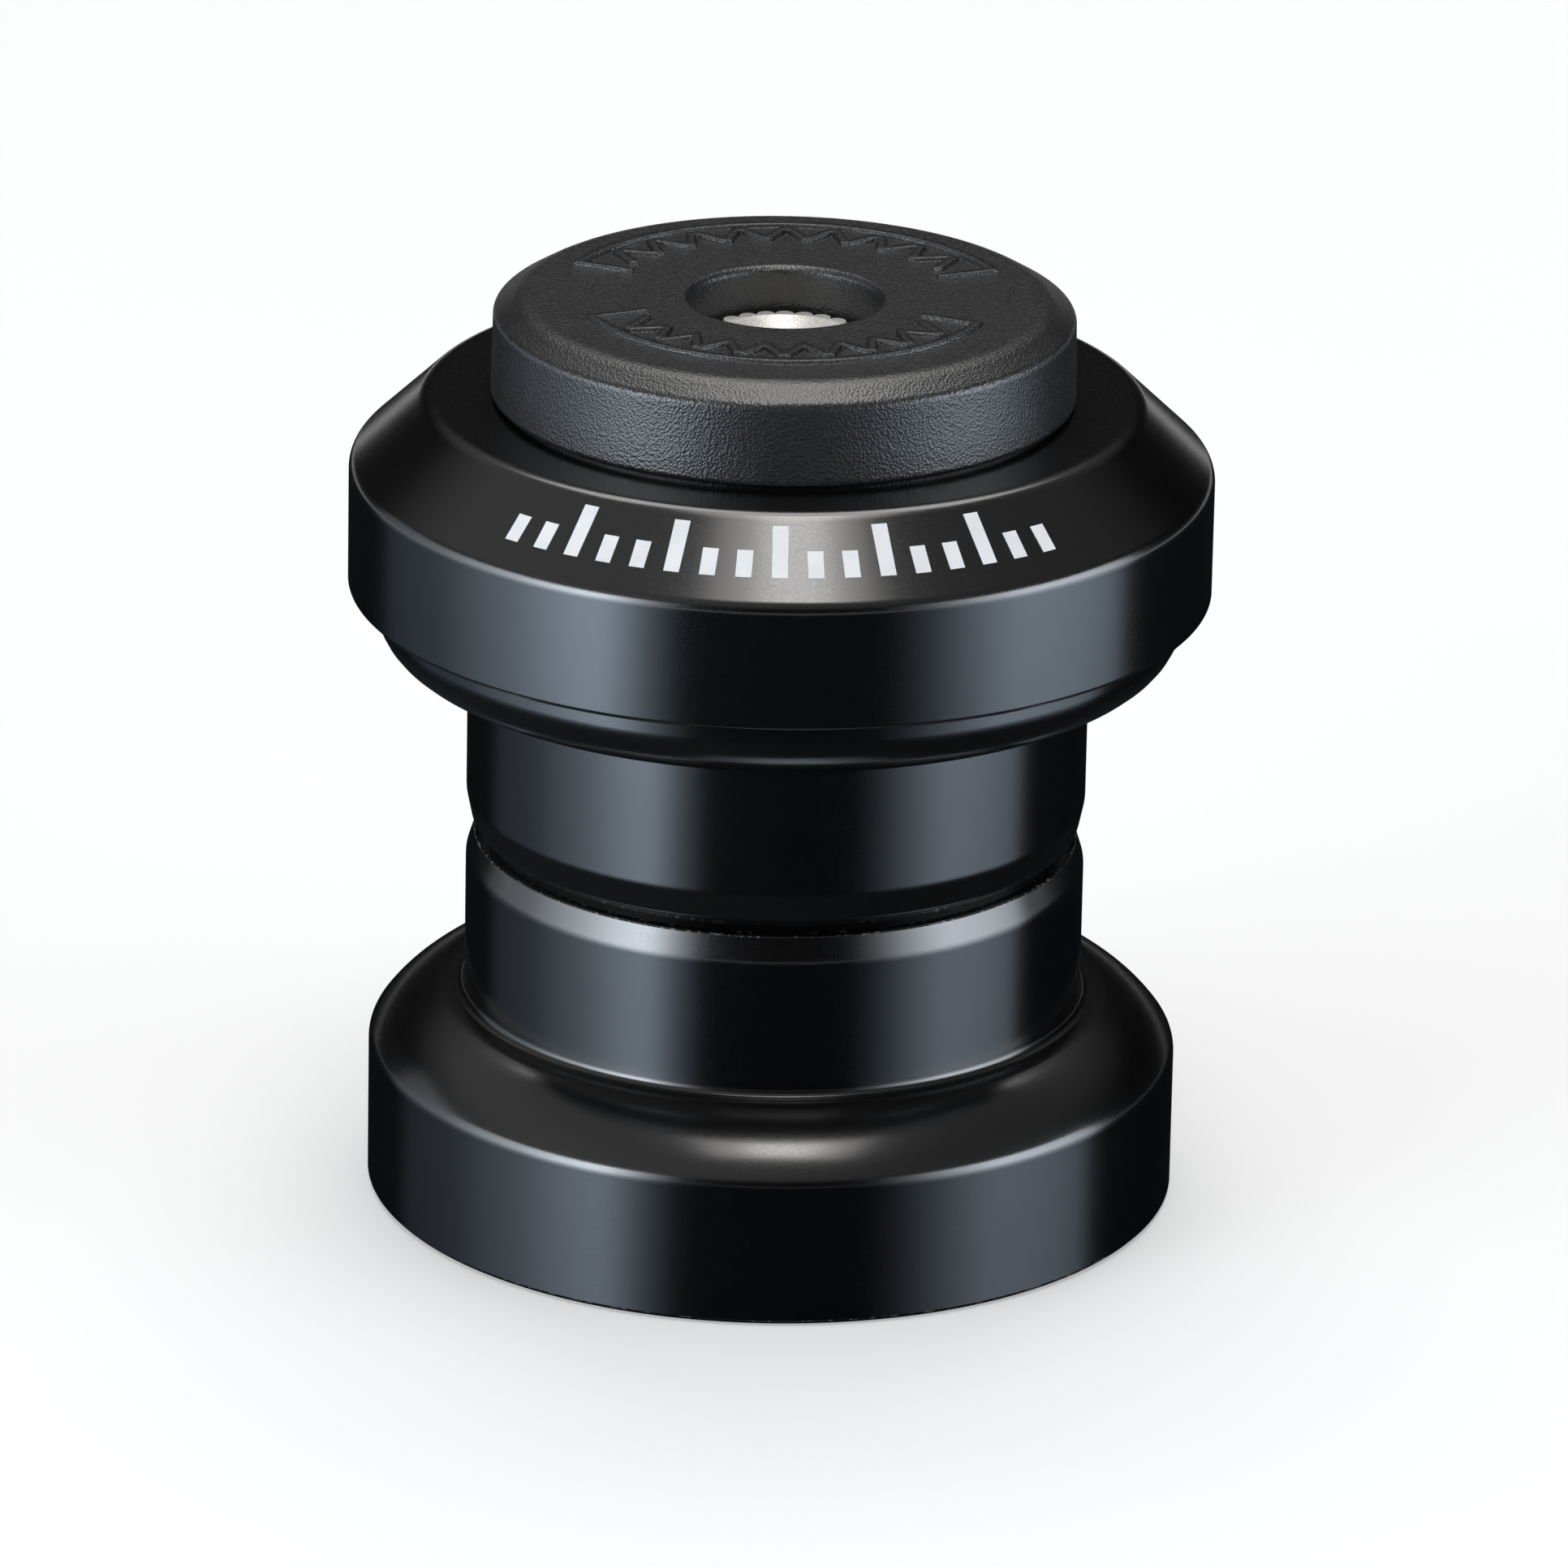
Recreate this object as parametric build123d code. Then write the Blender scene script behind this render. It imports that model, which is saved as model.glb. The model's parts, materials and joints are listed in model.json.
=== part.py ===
from build123d import *
import math
import os

# Threadless headset for a bicycle: two pressed cups with a cartridge bearing each, a cover,
# a crown race, and the top cap whose bolt and star nut set the preload. All sizes are in
# millimetres. Z is the steering axis and z = 0 is the rim that the lower cup stands on.

# Fits to the bicycle
steerer_d = 28.6
steerer_clearance = 0.1
sleeve_d = 34.1
crown_step = 0.7

# Clearances inside the headset
seat_gap = 0.05
shelf_gap = 0.2
seal_gap = 0.15
skirt_gap = 0.15

# Cartridge bearing, used twice
bearing_section = 5.425
bearing_h = 6.5
bevel_out = 1.8
bevel_in = 1.7
ball_d = 3.175
ball_count = 24
groove_gap = 0.08
race_gap = 1.4
shoulder_drop = 0.6
race_edge = 0.25
cage_t = 0.9
cage_gap = 0.25
pocket_gap = 0.12
bearing_seal_t = 0.6
bearing_seal_inset = 0.2

# Lower cup
lower_cup_wall = 1.78
lower_web = 1.4
shoulder_h = 2.95
shoulder_bulge = 0.44
shoulder_edge = 1.2
tube_seat_w = 1.35
sleeve_fillet = 0.5
lower_cup_h = 20.3
lead_in = 0.45
lead_in_h = 1.4
sleeve_wall = 1.55
rim_edge = 0.2
lower_bearing_z = 3.0
skirt_wall = 1.4
skirt_h = 2.6

# Upper cup
flange_step = 0.22
upper_sleeve_h = 10.8
upper_flange_h = 3.4
flange_round = 2.4
taper = 0.3
taper_h = 1.45
nose = 0.65
nose_h = 1.0
bearing_web = 1.3
upstand_wall = 1.35
upstand_drop = 0.6

# Seals that ride on the cup and on the crown race
lip_seal_h = 1.2
lip_seal_depth = 0.7
lip_seal_z = 1.1

# Crown race
crown_floor = 0.2
crown_flange_t = 1.7
crown_seal_h = 0.9
crown_seal_depth = 0.8
crown_edge_gap = 0.5
cone_land = 0.6

# Compression ring, whose cone is as wide as the crown race's
ring_wall = 0.625
ring_rise = 2.5
cone_over = 0.625
ring_slit = 2.0

# Bearing cover
cover_gap = 0.6
cover_wall_h = 6.95
cover_corner = 0.7
cover_cone_w = 4.15
cover_h = 10.9
cover_skirt_wall = 1.15
cover_top_t = 1.95
cover_hub_over = 0.8
cover_edge = 0.2
cover_land_round = 0.7
o_ring_section = 1.6
o_ring_groove_gap = 0.15
o_ring_drop = 1.9

# Top cap
cap_overhang = 1.55
cap_h = 5.6
cap_bevel_w = 1.5
cap_bevel_h = 0.9
cap_bevel_blend = 1.6
cap_corner_round = 0.4
cap_draft = 0.08
cap_foot_inset = 0.6
cap_foot_h = 0.3
cap_wall = 1.7
cap_top_t = 2.4
cap_hole_gap = 0.2
cap_hole_edge = 0.25
cap_boss_wall = 1.8
cap_floor_t = 2.0
cap_rib_count = 6
cap_rib_t = 1.2
relief_h = 0.22
ridge_w = 0.5
badge_deg = 136.0
badge_w = 3.5
front_badge_inset = 4.4
back_badge_inset = 3.4
zigzag_count = 18
zigzag_pitch_deg = 6.6
zigzag_l = 2.3
zigzag_lean_deg = 30.0

# Top cap bolt
bolt_d = 6.0
bolt_length = 30.0
bolt_head_d = 10.0
bolt_head_h = 6.0
bolt_head_edge = 0.4
bolt_recess = 2.4
dish_rim = 0.25
dish_h = 1.0
dish_edge = 0.05
bolt_tip_edge = 0.6
bolt_clearance = 0.2
hex_key = 5.0
hex_depth = 3.0

# Star nut
nut_from_tip = 1.5
nut_core_wall = 1.15
nut_collar_step = 1.2
nut_collar_h = 5.0
nut_lip_step = 0.5
nut_lip_h = 0.6
star_d = 26.2
star_flat_d = 14.0
star_t = 0.9
star_dish_deg = 22.0
star_points = 8
star_notch_root_d = 16.0
star_notch_root_w = 1.6
star_notch_tip_w = 5.0

# Radii and levels that follow from the sizes above
sleeve_r = sleeve_d / 2
sleeve_bore_r = sleeve_r - sleeve_wall
steerer_bore_r = steerer_d / 2 + steerer_clearance
crown_bore_r = steerer_d / 2 + crown_step
bearing_bore_r = steerer_bore_r + ring_wall + seat_gap
bearing_r = bearing_bore_r + bearing_section
pocket_r = bearing_r + seat_gap
cone_r = bearing_bore_r + bevel_in + cone_over
lower_flange_r = pocket_r + lower_cup_wall
upstand_r = pocket_r + upstand_wall
upper_flange_r = upstand_r + flange_step
cover_skirt_r = upstand_r + cover_gap
cover_r = cover_skirt_r + cover_skirt_wall
cap_r = steerer_bore_r + cap_overhang
bolt_r = bolt_d / 2
head_r = bolt_head_d / 2
cage_h = bearing_h - 2 * (bearing_seal_inset + bearing_seal_t + cage_gap)
lower_bearing_top_z = lower_bearing_z + bearing_h
lower_shelf_z = lower_bearing_top_z + shelf_gap
tube_seat_z = lower_shelf_z + lower_web
lower_wall_h = tube_seat_z - shoulder_h
flange_under_z = lower_cup_h + upper_sleeve_h
flange_top_z = flange_under_z + upper_flange_h
upper_bearing_z = flange_under_z + bearing_web
upper_bearing_top_z = upper_bearing_z + bearing_h
cover_z = flange_top_z + skirt_gap
cover_top_z = cover_z + cover_h
ring_top_z = upper_bearing_top_z + ring_rise
cap_top_z = cover_top_z + cap_h
bolt_top_z = cap_top_z - bolt_recess
bolt_seat_z = bolt_top_z - bolt_head_h
bolt_tip_z = bolt_seat_z - bolt_length
seat_shift = seat_gap * math.sqrt(2)


def turned(*corners):
    """A solid of revolution about Z. A corner is (radius, height) or (radius, height, rounding)."""
    roundings = [corner[2] if len(corner) == 3 else 0 for corner in corners]
    outline = FilletPolyline(*[corner[:2] for corner in corners], radius=roundings, close=True)
    return revolve(Plane.XZ * make_face(outline), Axis.Z)


def tube(inner_r, outer_r, low_z, high_z):
    """A plain ring between two radii and two levels."""
    return turned((inner_r, low_z), (outer_r, low_z), (outer_r, high_z), (inner_r, high_z))


def around(shape, count):
    """Copies of a shape, evenly spaced about Z."""
    return [Rot(0, 0, 360 * i / count) * shape for i in range(count)]


# Bearing: both bevels at 45 degrees, the outer one below and the inner one above, as in the upper cup
pitch_r = (bearing_r + bearing_bore_r) / 2
ball_r = ball_d / 2
groove_r = ball_r + groove_gap
ball_z = bearing_h / 2
inner_high_r = pitch_r - race_gap / 2
inner_low_r = inner_high_r - shoulder_drop
outer_low_r = pitch_r + race_gap / 2
outer_high_r = outer_low_r + shoulder_drop

groove = revolve(Plane.XZ * Pos(pitch_r, ball_z) * Circle(groove_r), Axis.Z)

outer_race = turned(
    (outer_low_r, 0),
    (bearing_r - bevel_out, 0),
    (bearing_r, bevel_out),
    (bearing_r, bearing_h - race_edge),
    (bearing_r - race_edge, bearing_h),
    (outer_high_r, bearing_h),
    (outer_high_r, ball_z),
    (outer_low_r, ball_z),
)
outer_race -= groove

inner_race = turned(
    (bearing_bore_r + race_edge, 0),
    (inner_low_r, 0),
    (inner_low_r, ball_z),
    (inner_high_r, ball_z),
    (inner_high_r, bearing_h),
    (bearing_bore_r + bevel_in, bearing_h),
    (bearing_bore_r, bearing_h - bevel_in),
    (bearing_bore_r, race_edge),
)
inner_race -= groove

ball = Pos(pitch_r, 0, ball_z) * Sphere(ball_r)
balls = Part() + around(ball, ball_count)

pocket = Pos(pitch_r, 0, ball_z) * Rot(0, 90, 0) * Cylinder(ball_r + pocket_gap, 4 * cage_t)
cage = tube(pitch_r - cage_t / 2, pitch_r + cage_t / 2, ball_z - cage_h / 2, ball_z + cage_h / 2)
cage -= around(pocket, ball_count)

# The inner seal faces the cup, the outer seal faces away from it
seal_top_z = bearing_h - bearing_seal_inset
outer_seal = tube(
    inner_high_r + seal_gap,
    outer_high_r - seat_gap,
    seal_top_z - bearing_seal_t,
    seal_top_z,
)
inner_seal = tube(
    inner_low_r + seal_gap,
    outer_low_r - seat_gap,
    bearing_seal_inset,
    bearing_seal_inset + bearing_seal_t,
)

in_upper_cup = Pos(0, 0, upper_bearing_z)
in_lower_cup = Pos(0, 0, lower_bearing_top_z) * Rot(180, 0, 0)

# Lower cup: skirt, bearing pocket with its 45 degree seat, arched shoulder and press sleeve
tube_seat_r = sleeve_r + tube_seat_w
seat_top_r = pocket_r - bevel_out
lower_seat_z = lower_bearing_top_z - bevel_out + seat_shift
skirt_r = lower_flange_r - skirt_wall

shoulder = SagittaArc((lower_flange_r, lower_wall_h), (tube_seat_r, tube_seat_z), -shoulder_bulge)
lower_outside = Polyline(
    (skirt_r, 0),
    (lower_flange_r - rim_edge, 0),
    (lower_flange_r, rim_edge),
    (lower_flange_r, lower_wall_h),
)
inside_corners = [
    shoulder @ 1,
    (sleeve_r, tube_seat_z),
    (sleeve_r, lower_cup_h - lead_in_h),
    (sleeve_r - lead_in, lower_cup_h),
    (sleeve_bore_r, lower_cup_h),
    (sleeve_bore_r, lower_shelf_z),
    (seat_top_r, lower_shelf_z),
    (seat_top_r, lower_seat_z + bevel_out),
    (pocket_r, lower_seat_z),
    (pocket_r, skirt_h),
    (skirt_r, skirt_h),
    (skirt_r, 0),
]
sharp_corners = inside_corners[2:-1]
lower_inside = FilletPolyline(*inside_corners, radius=[sleeve_fillet] + [0 for corner in sharp_corners])
lower_section = make_face(lower_outside + shoulder + lower_inside)
lower_corner = lower_section.vertices().sort_by_distance((lower_flange_r, lower_wall_h))[0]
lower_section = fillet(lower_corner, shoulder_edge)
lower_cup = revolve(Plane.XZ * lower_section, Axis.Z)

# Upper cup: tapered nose, press sleeve, rounded flange, seat, and an upstand under the cover's skirt
upstand_top_z = upper_bearing_top_z - upstand_drop
upper_shelf_z = upper_bearing_z - shelf_gap
upper_seat_z = upper_bearing_z + bevel_out - seat_shift
taper_z = lower_cup_h + nose_h
lip_groove_r = upstand_r - lip_seal_depth
lip_low_z = flange_top_z + lip_seal_z
lip_high_z = lip_low_z + lip_seal_h

upper_cup = turned(
    (sleeve_bore_r, lower_cup_h),
    (sleeve_r - taper - nose, lower_cup_h),
    (sleeve_r - taper, taper_z),
    (sleeve_r, taper_z + taper_h),
    (sleeve_r, flange_under_z, sleeve_fillet),
    (upper_flange_r, flange_under_z, flange_round),
    (upper_flange_r, flange_top_z),
    (upstand_r, flange_top_z),
    (upstand_r, lip_low_z),
    (lip_groove_r, lip_low_z),
    (lip_groove_r, lip_high_z),
    (upstand_r, lip_high_z),
    (upstand_r, upstand_top_z),
    (pocket_r, upstand_top_z),
    (pocket_r, upper_seat_z),
    (seat_top_r, upper_seat_z - bevel_out),
    (seat_top_r, upper_shelf_z),
    (sleeve_bore_r, upper_shelf_z),
)

# Lip seal on the upstand, close to the inside of the cover's skirt
lip_tip_r = cover_skirt_r - seal_gap
upper_cup_seal = turned(
    (lip_groove_r + seat_gap, lip_low_z + seat_gap),
    (upstand_r, lip_low_z + seat_gap),
    (lip_tip_r, lip_low_z + lip_seal_h / 4),
    (lip_tip_r, lip_low_z + lip_seal_h / 2),
    (upstand_r, lip_high_z - seat_gap),
    (lip_groove_r + seat_gap, lip_high_z - seat_gap),
)

# Crown race: pressed on the fork, its cone enters the lower bearing's inner bevel from below
crown_r = skirt_r - crown_edge_gap
crown_flange_z = crown_floor + crown_flange_t
cone_foot_z = lower_bearing_z - cone_over - seat_shift
crown_tip_r = crown_bore_r + cone_land
crown_tip_z = cone_foot_z + cone_r - crown_tip_r
crown_groove_r = crown_r - crown_seal_depth
crown_groove_z = crown_floor + (crown_flange_t - crown_seal_h) / 2

crown_race = turned(
    (crown_bore_r, crown_floor),
    (crown_r, crown_floor),
    (crown_r, crown_groove_z),
    (crown_groove_r, crown_groove_z),
    (crown_groove_r, crown_groove_z + crown_seal_h),
    (crown_r, crown_groove_z + crown_seal_h),
    (crown_r, crown_flange_z),
    (cone_r, crown_flange_z),
    (cone_r, cone_foot_z),
    (crown_tip_r, crown_tip_z),
    (crown_bore_r, crown_tip_z),
)
crown_race_seal = turned(
    (crown_groove_r + seat_gap, crown_groove_z + seat_gap),
    (crown_r, crown_groove_z + seat_gap),
    (skirt_r - seal_gap, crown_groove_z + crown_seal_h / 2),
    (skirt_r - seal_gap, crown_groove_z + crown_seal_h - seat_gap),
    (crown_groove_r + seat_gap, crown_groove_z + crown_seal_h - seat_gap),
)

# Compression ring: the split wedge between the upper bearing and the steerer
ring_cone_z = upper_bearing_top_z + cone_over + seat_shift
ring_tip_r = steerer_bore_r + ring_wall
ring_tip_z = ring_cone_z - cone_r + ring_tip_r

compression_ring = turned(
    (steerer_bore_r, ring_tip_z),
    (ring_tip_r, ring_tip_z),
    (cone_r, ring_cone_z),
    (cone_r, ring_top_z),
    (steerer_bore_r, ring_top_z),
)
ring_h = ring_top_z - ring_tip_z
slit = Pos(0, cone_r, ring_top_z - ring_h / 2) * Box(ring_slit, cone_r, ring_h + seat_gap)
compression_ring -= slit

# Bearing cover: skirt, cone and land outside, a hub inside that presses on the compression ring
cover_corner_z = cover_z + cover_wall_h
cover_land_r = cover_r - cover_cone_w
cover_hub_r = cone_r + cover_hub_over
cone_slope = (cover_top_z - cover_corner_z) / cover_cone_w
cover_ceiling_z = cover_top_z - cover_top_t
cone_t = cover_skirt_wall * math.hypot(1, cone_slope)
cone_inside_z = cover_corner_z + cone_slope * cover_skirt_wall - cone_t
ceiling_r = cover_skirt_r - (cover_ceiling_z - cone_inside_z) / cone_slope
o_ring_r = o_ring_section / 2
o_ring_centre_r = steerer_d / 2 + o_ring_r
o_ring_groove_r = o_ring_centre_r + o_ring_r + seat_gap
o_ring_half_w = o_ring_r + o_ring_groove_gap
o_ring_level = cover_top_z - o_ring_drop

bearing_cover = turned(
    (steerer_bore_r, ring_top_z),
    (cover_hub_r, ring_top_z),
    (cover_hub_r, cover_ceiling_z),
    (ceiling_r, cover_ceiling_z),
    (cover_skirt_r, cone_inside_z),
    (cover_skirt_r, cover_z),
    (cover_r - cover_edge, cover_z),
    (cover_r, cover_z + cover_edge),
    (cover_r, cover_corner_z, cover_corner),
    (cover_land_r, cover_top_z, cover_land_round),
    (steerer_bore_r, cover_top_z),
    (steerer_bore_r, o_ring_level + o_ring_half_w),
    (o_ring_groove_r, o_ring_level + o_ring_half_w),
    (o_ring_groove_r, o_ring_level - o_ring_half_w),
    (steerer_bore_r, o_ring_level - o_ring_half_w),
)
cover_o_ring = revolve(Plane.XZ * Pos(o_ring_centre_r, o_ring_level) * Circle(o_ring_r), Axis.Z)

# Top cap: a moulding with a bevelled edge, a boss for the bolt, ribs underneath and raised badges on top
cap_hole_r = head_r + cap_hole_gap
cap_edge_z = cap_top_z - cap_bevel_h
cap_flat_r = cap_r - cap_draft - cap_bevel_w
cap_ceiling_z = cap_edge_z - cap_top_t
cap_foot_z = cover_top_z + cap_foot_h
cap_foot_r = cap_r - cap_foot_inset
cap_inner_r = cap_r - cap_wall
boss_r = cap_hole_r + cap_boss_wall
bolt_hole_r = bolt_r + bolt_clearance
boss_floor_z = bolt_seat_z - cap_floor_t

top_cap = turned(
    (cap_flat_r, cap_top_z, cap_bevel_blend),
    (cap_r - cap_draft, cap_edge_z, cap_corner_round),
    (cap_r, cap_foot_z),
    (cap_foot_r, cap_foot_z),
    (cap_foot_r, cover_top_z),
    (cap_inner_r, cover_top_z),
    (cap_inner_r, cap_ceiling_z),
    (boss_r, cap_ceiling_z),
    (boss_r, boss_floor_z),
    (bolt_hole_r, boss_floor_z),
    (bolt_hole_r, bolt_seat_z),
    (cap_hole_r, bolt_seat_z),
    (cap_hole_r, cap_top_z - cap_hole_edge),
    (cap_hole_r + cap_hole_edge, cap_top_z),
)

rib_r0 = (cap_hole_r + boss_r) / 2
rib_r1 = (cap_inner_r + cap_foot_r) / 2
rib_h = cap_ceiling_z - cap_foot_z
rib = Pos((rib_r0 + rib_r1) / 2, 0, cap_ceiling_z - rib_h / 2) * Box(rib_r1 - rib_r0, cap_rib_t, rib_h)
top_cap += around(rib, cap_rib_count)


def arc_ridge(inner_r, outer_r, centre_deg, span_deg):
    """A raised patch of the cap's flat top between two radii and over an angle."""
    section = Pos((inner_r + outer_r) / 2, cap_top_z) * Rectangle(outer_r - inner_r, 2 * relief_h)
    patch = revolve(Plane.XZ * section, Axis.Z, revolution_arc=span_deg)
    return Rot(0, 0, centre_deg - span_deg / 2) * patch


def fan(count, pitch_deg, centre_deg):
    """Angles of a row that is centred on one direction."""
    return [centre_deg + pitch_deg * (i - (count - 1) / 2) for i in range(count)]


def badge(outer_r, centre_deg):
    """A raised outline, open towards the hole, round a zigzag of straight ridges."""
    inner_r = outer_r - badge_w
    end_deg = math.degrees(ridge_w / outer_r)
    pieces = [arc_ridge(outer_r - ridge_w, outer_r, centre_deg, badge_deg)]
    pieces += [arc_ridge(inner_r, outer_r, a, end_deg) for a in fan(2, badge_deg - end_deg, centre_deg)]
    ridge = Box(zigzag_l, ridge_w, 2 * relief_h)
    middle = Pos((inner_r + outer_r - ridge_w) / 2, 0, cap_top_z)
    for i, a in enumerate(fan(zigzag_count, zigzag_pitch_deg, centre_deg)):
        lean_deg = zigzag_lean_deg if i % 2 == 0 else -zigzag_lean_deg
        pieces.append(Rot(0, 0, a) * middle * Rot(0, 0, lean_deg) * ridge)
    return pieces


back_deg = 90
front_deg = -90
top_cap += badge(cap_r - back_badge_inset, back_deg)
top_cap += badge(cap_r - front_badge_inset, front_deg)

# Top cap bolt: a socket head screw through the cap, dished round its hexagon
dish_floor_r = hex_key / 2 / math.cos(math.radians(30)) + dish_edge
top_cap_bolt = turned(
    (0, bolt_tip_z),
    (bolt_r - bolt_tip_edge, bolt_tip_z),
    (bolt_r, bolt_tip_z + bolt_tip_edge),
    (bolt_r, bolt_seat_z),
    (head_r, bolt_seat_z),
    (head_r, bolt_top_z - bolt_head_edge),
    (head_r - bolt_head_edge, bolt_top_z),
    (head_r - bolt_head_edge - dish_rim, bolt_top_z),
    (dish_floor_r, bolt_top_z - dish_h),
    (0, bolt_top_z - dish_h),
)
hexagon = RegularPolygon(hex_key / 2, 6, major_radius=False)
top_cap_bolt -= Pos(0, 0, bolt_top_z - hex_depth) * extrude(hexagon, hex_depth)

# Star nut: a threaded core with a collar, and a dished spring star crimped on at each end
nut_bore_r = bolt_r + seat_gap
nut_core_r = nut_bore_r + nut_core_wall
nut_collar_r = nut_core_r + nut_collar_step
nut_lip_r = nut_core_r + nut_lip_step
nut_z = bolt_tip_z + nut_from_tip
lower_star_z = nut_z + nut_lip_h
collar_z = lower_star_z + star_t
upper_star_z = collar_z + nut_collar_h
nut_top_z = upper_star_z + star_t + nut_lip_h

star_nut_barrel = turned(
    (nut_bore_r, nut_z),
    (nut_lip_r, nut_z),
    (nut_lip_r, lower_star_z),
    (nut_core_r, lower_star_z),
    (nut_core_r, collar_z),
    (nut_collar_r, collar_z),
    (nut_collar_r, upper_star_z),
    (nut_core_r, upper_star_z),
    (nut_core_r, upper_star_z + star_t),
    (nut_lip_r, upper_star_z + star_t),
    (nut_lip_r, nut_top_z),
    (nut_bore_r, nut_top_z),
)

star_rise = (star_d - star_flat_d) / 2 * math.tan(math.radians(star_dish_deg))
star = turned(
    (nut_core_r + seat_gap, 0),
    (star_flat_d / 2, 0),
    (star_d / 2, star_rise),
    (star_d / 2, star_rise + star_t),
    (star_flat_d / 2, star_t),
    (nut_core_r + seat_gap, star_t),
)
notch_outline = Polyline(
    (star_notch_root_d / 2, -star_notch_root_w / 2),
    (star_d / 2 + star_t, -star_notch_tip_w / 2),
    (star_d / 2 + star_t, star_notch_tip_w / 2),
    (star_notch_root_d / 2, star_notch_root_w / 2),
    close=True,
)
notch = extrude(make_face(notch_outline), star_rise + 2 * star_t)
star -= around(notch, star_points)

# One file for each piece
os.makedirs("parts", exist_ok=True)
pieces = {
    "lower_cup": lower_cup,
    "upper_cup": upper_cup,
    "upper_cup_seal": upper_cup_seal,
    "crown_race": crown_race,
    "crown_race_seal": crown_race_seal,
    "compression_ring": compression_ring,
    "bearing_cover": bearing_cover,
    "cover_o_ring": cover_o_ring,
    "top_cap": top_cap,
    "top_cap_bolt": top_cap_bolt,
    "star_nut_barrel": star_nut_barrel,
    "star_nut_upper_plate": Pos(0, 0, upper_star_z) * star,
    "star_nut_lower_plate": Pos(0, 0, lower_star_z) * star,
}
bearing = {
    "outer_race": outer_race,
    "inner_race": inner_race,
    "balls": balls,
    "cage": cage,
    "inner_seal": inner_seal,
    "outer_seal": outer_seal,
}
for name, shape in bearing.items():
    pieces["upper_bearing_" + name] = in_upper_cup * shape
    pieces["lower_bearing_" + name] = in_lower_cup * shape

for name, shape in pieces.items():
    export_step(shape, "parts/" + name + ".step")
    print(name, round(shape.volume, 1), "mm3")
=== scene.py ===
import json
import math

import bpy
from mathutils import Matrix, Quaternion, Vector


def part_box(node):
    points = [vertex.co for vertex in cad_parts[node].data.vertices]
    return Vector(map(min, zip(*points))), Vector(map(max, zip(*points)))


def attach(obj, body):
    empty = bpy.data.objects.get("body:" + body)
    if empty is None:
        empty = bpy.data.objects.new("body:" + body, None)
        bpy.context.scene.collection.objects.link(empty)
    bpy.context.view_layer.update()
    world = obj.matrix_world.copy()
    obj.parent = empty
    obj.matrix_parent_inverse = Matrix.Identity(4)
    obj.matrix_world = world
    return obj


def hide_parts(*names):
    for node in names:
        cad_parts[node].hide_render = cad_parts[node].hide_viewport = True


# Looks of the headset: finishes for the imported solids, the turned pieces with finer roundings, a
# detailed bolt, a printed scale on the cover, and the studio of the photograph. Lengths are in
# metres, angles in degrees.

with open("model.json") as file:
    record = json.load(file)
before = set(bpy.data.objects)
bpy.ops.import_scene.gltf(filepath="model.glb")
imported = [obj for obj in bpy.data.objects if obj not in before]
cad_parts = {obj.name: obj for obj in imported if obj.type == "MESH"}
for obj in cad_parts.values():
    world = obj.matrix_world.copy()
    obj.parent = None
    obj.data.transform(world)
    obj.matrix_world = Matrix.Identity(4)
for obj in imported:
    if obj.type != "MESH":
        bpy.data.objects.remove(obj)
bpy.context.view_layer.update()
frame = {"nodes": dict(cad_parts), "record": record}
solids = frame["nodes"]
mm = 0.001

# Meshes of the turned pieces, and the wear of their finest edges
turned_columns = 240
turned_arc_steps = 8
turned_support = 0.03 * mm
worn_round_most = 0.15 * mm
wear_grain = 0.35 * mm
wear_from = 0.56
wear_full = 0.66
sharp_deg = 35

# Both cups: press sleeves and bearing seats
sleeve_r = 17.05 * mm
sleeve_bore_r = 15.50 * mm
sleeve_meet_z = 20.30 * mm
sleeve_fillet = 0.50 * mm
pocket_r = 20.55 * mm
seat_top_r = 18.75 * mm

# Lower cup
rim_inner_r = 20.93 * mm
lower_flange_r = 22.33 * mm
rim_edge = 0.20 * mm
rim_inner_round = 0.10 * mm
rim_under_round = 0.08 * mm
rim_outer_round = 0.10 * mm
lower_wall_top_z = 8.15 * mm
shoulder_edge_r = 1.2 * mm
shoulder_bulge = 0.44 * mm
tube_seat_r = 18.40 * mm
tube_seat_z = 11.10 * mm
lead_in_r = 16.60 * mm
lead_in_z = 18.90 * mm
lead_in_round = 1.50 * mm
sleeve_end_round = 0.12 * mm
sleeve_bore_round = 0.10 * mm
lower_shelf_z = 9.70 * mm
lower_seat_top_z = 9.57 * mm
lower_seat_z = 7.77 * mm
skirt_top_z = 2.60 * mm

# Upper cup
nose_r = 16.10 * mm
nose_round = 0.12 * mm
taper_r = 16.75 * mm
taper_low_z = 21.30 * mm
taper_low_round = 1.00 * mm
taper_high_z = 22.75 * mm
taper_high_round = 2.00 * mm
upper_flange_r = 22.12 * mm
flange_under_z = 31.10 * mm
flange_round = 2.40 * mm
flange_top_z = 34.50 * mm
flange_top_round = 0.16 * mm
upstand_r = 21.90 * mm
upstand_top_z = 38.30 * mm
lip_groove_r = 21.20 * mm
lip_low_z = 35.60 * mm
lip_high_z = 36.80 * mm
upper_seat_z = 34.13 * mm
upper_seat_low_z = 32.33 * mm
upper_shelf_z = 32.20 * mm

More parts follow.
